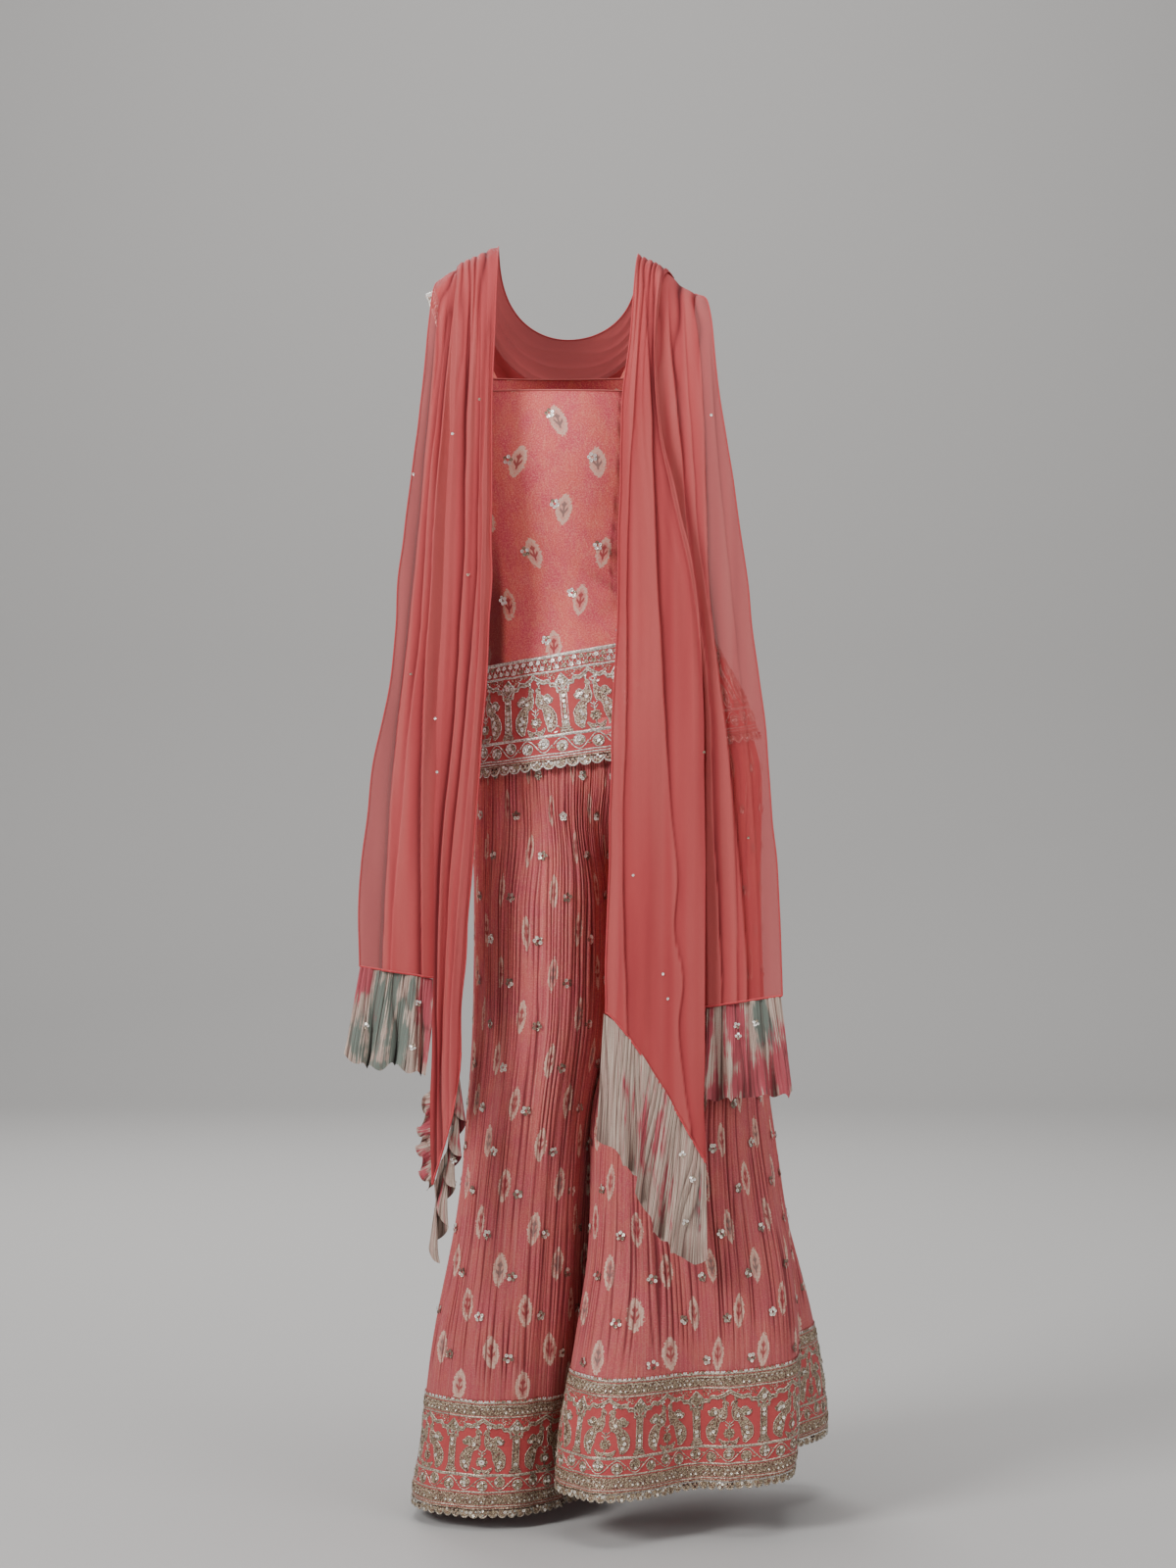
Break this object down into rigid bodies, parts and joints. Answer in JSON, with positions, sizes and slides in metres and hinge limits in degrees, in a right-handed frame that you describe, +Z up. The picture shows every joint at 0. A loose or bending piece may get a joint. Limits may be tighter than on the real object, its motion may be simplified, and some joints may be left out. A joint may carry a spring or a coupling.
{
  "type": "worn palazzo suit",
  "caption": "Sleeveless tunic, wide crinkled palazzo trousers with embroidered hem borders and a long sheer scarf with ruffled ends, in their worn form.",
  "frame": {"origin": "midway between the shoulder tops, where the wearer carries the suit", "axes": "+Z up along the body, the wearer faces -Y and the wearer's left is +X"},
  "size_m": [0.5731, 0.4204, 1.5315],
  "materials": {
    "weave": "matt crinkled weave with a small printed leaf",
    "zari": "silver-gold metallic thread and sequin embroidery on coral cloth",
    "chiffon": "soft sheer chiffon",
    "crepe": "crushed printed crepe in cream, teal and magenta"
  },
  "bodies": {
    "root": {"kurti_back": "weave", "kurti_front": "weave", "strap_left": "weave", "strap_right": "weave", "palazzo_waistband": "weave", "palazzo_left_back": "weave", "palazzo_left_front": "weave", "palazzo_right_back": "weave", "palazzo_right_front": "weave", "kurti_border_back": "zari", "kurti_border_front": "zari", "kurti_trim_back": "zari", "kurti_trim_front": "zari", "palazzo_border_left": "zari", "palazzo_border_right": "zari", "palazzo_trim_left": "zari", "palazzo_trim_right": "zari", "dupatta_neck": "chiffon", "dupatta_fall_left": "chiffon", "dupatta_fall_right": "chiffon", "left_wide_ruffle": "crepe", "right_wide_ruffle": "crepe", "left_tail_ruffle": "crepe", "right_tail_ruffle": "crepe"}
  },
  "joints": []
}
